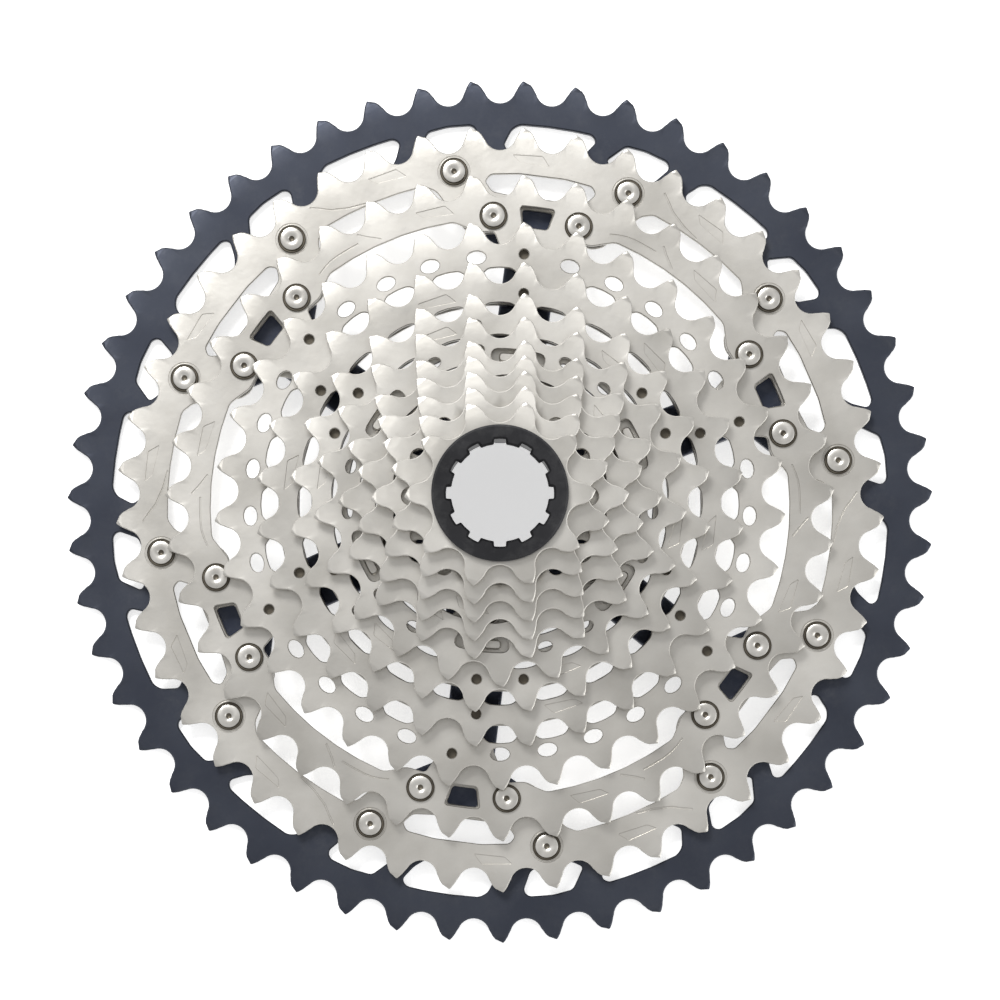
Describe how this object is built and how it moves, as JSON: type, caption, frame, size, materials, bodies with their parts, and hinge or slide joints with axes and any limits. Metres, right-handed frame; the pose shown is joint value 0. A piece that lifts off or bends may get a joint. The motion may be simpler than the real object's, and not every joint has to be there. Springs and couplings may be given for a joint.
{
  "type": "bicycle cassette",
  "caption": "Wide-range bicycle cassette: sprockets riveted to a spider, with loose small sprockets, ring spacers and a lock ring that slide off along the axle.",
  "frame": {"origin": "on the wheel axle, in the plane of the largest sprocket's back face, which is the bottom centre of the part", "axes": "+Z along the wheel axle, outwards from the wheel, from the largest sprocket to the lock ring; +Y through the wide spline of the bore"},
  "size_m": [0.2098, 0.2097, 0.0435],
  "materials": {
    "dark_aluminium": "dark blue-grey anodised, satin",
    "nickel_steel": "nickel-plated steel, satin",
    "rivet_steel": "bright steel rivets",
    "black_aluminium": "black anodised, satin",
    "grey_aluminium": "grey anodised, satin"
  },
  "bodies": {
    "cluster": {"spider": "dark_aluminium", "sprocket_51t": "dark_aluminium", "sprocket_45t": "nickel_steel", "sprocket_39t": "nickel_steel", "sprocket_33t": "nickel_steel", "sprocket_28t": "nickel_steel", "sprocket_24t": "nickel_steel", "sprocket_21t": "nickel_steel", "outer_rivet_01": "rivet_steel", "outer_rivet_02": "rivet_steel", "outer_rivet_03": "rivet_steel", "outer_rivet_04": "rivet_steel", "outer_rivet_05": "rivet_steel", "outer_rivet_06": "rivet_steel", "outer_rivet_07": "rivet_steel", "outer_rivet_08": "rivet_steel", "outer_rivet_09": "rivet_steel", "outer_rivet_10": "rivet_steel", "outer_rivet_11": "rivet_steel", "outer_rivet_12": "rivet_steel", "inner_rivet_01": "rivet_steel", "inner_rivet_02": "rivet_steel", "inner_rivet_03": "rivet_steel", "inner_rivet_04": "rivet_steel", "inner_rivet_05": "rivet_steel", "inner_rivet_06": "rivet_steel", "inner_rivet_07": "rivet_steel", "inner_rivet_08": "rivet_steel", "inner_rivet_09": "rivet_steel", "inner_rivet_10": "rivet_steel", "inner_rivet_11": "rivet_steel", "inner_rivet_12": "rivet_steel", "petal_rivet_01": "rivet_steel", "petal_rivet_02": "rivet_steel", "petal_rivet_03": "rivet_steel", "petal_rivet_04": "rivet_steel", "petal_rivet_05": "rivet_steel", "petal_rivet_06": "rivet_steel"},
    "sprocket_18t_body": {"sprocket_18t": "nickel_steel"},
    "spacer_a_body": {"spacer_a": "grey_aluminium"},
    "sprocket_16t_body": {"sprocket_16t": "nickel_steel"},
    "spacer_b_body": {"spacer_b": "grey_aluminium"},
    "sprocket_14t_body": {"sprocket_14t": "nickel_steel"},
    "sprocket_12t_body": {"sprocket_12t": "nickel_steel"},
    "sprocket_10t_body": {"sprocket_10t": "nickel_steel"},
    "lock_ring_body": {"lock_ring": "black_aluminium"}
  },
  "joints": [
    {"name": "sprocket_18t_off", "type": "slide", "parent": "cluster", "child": "sprocket_18t_body", "axis": [0, 0, 1], "range_m": [0, 0.022]},
    {"name": "spacer_a_off", "type": "slide", "parent": "sprocket_18t_body", "child": "spacer_a_body", "axis": [0, 0, 1], "range_m": [0, 0.022]},
    {"name": "sprocket_16t_off", "type": "slide", "parent": "spacer_a_body", "child": "sprocket_16t_body", "axis": [0, 0, 1], "range_m": [0, 0.022]},
    {"name": "spacer_b_off", "type": "slide", "parent": "sprocket_16t_body", "child": "spacer_b_body", "axis": [0, 0, 1], "range_m": [0, 0.022]},
    {"name": "sprocket_14t_off", "type": "slide", "parent": "spacer_b_body", "child": "sprocket_14t_body", "axis": [0, 0, 1], "range_m": [0, 0.022]},
    {"name": "sprocket_12t_off", "type": "slide", "parent": "sprocket_14t_body", "child": "sprocket_12t_body", "axis": [0, 0, 1], "range_m": [0, 0.022]},
    {"name": "sprocket_10t_off", "type": "slide", "parent": "sprocket_12t_body", "child": "sprocket_10t_body", "axis": [0, 0, 1], "range_m": [0, 0.022]},
    {"name": "lock_ring_off", "type": "slide", "parent": "sprocket_10t_body", "child": "lock_ring_body", "axis": [0, 0, 1], "range_m": [0, 0.026]}
  ]
}
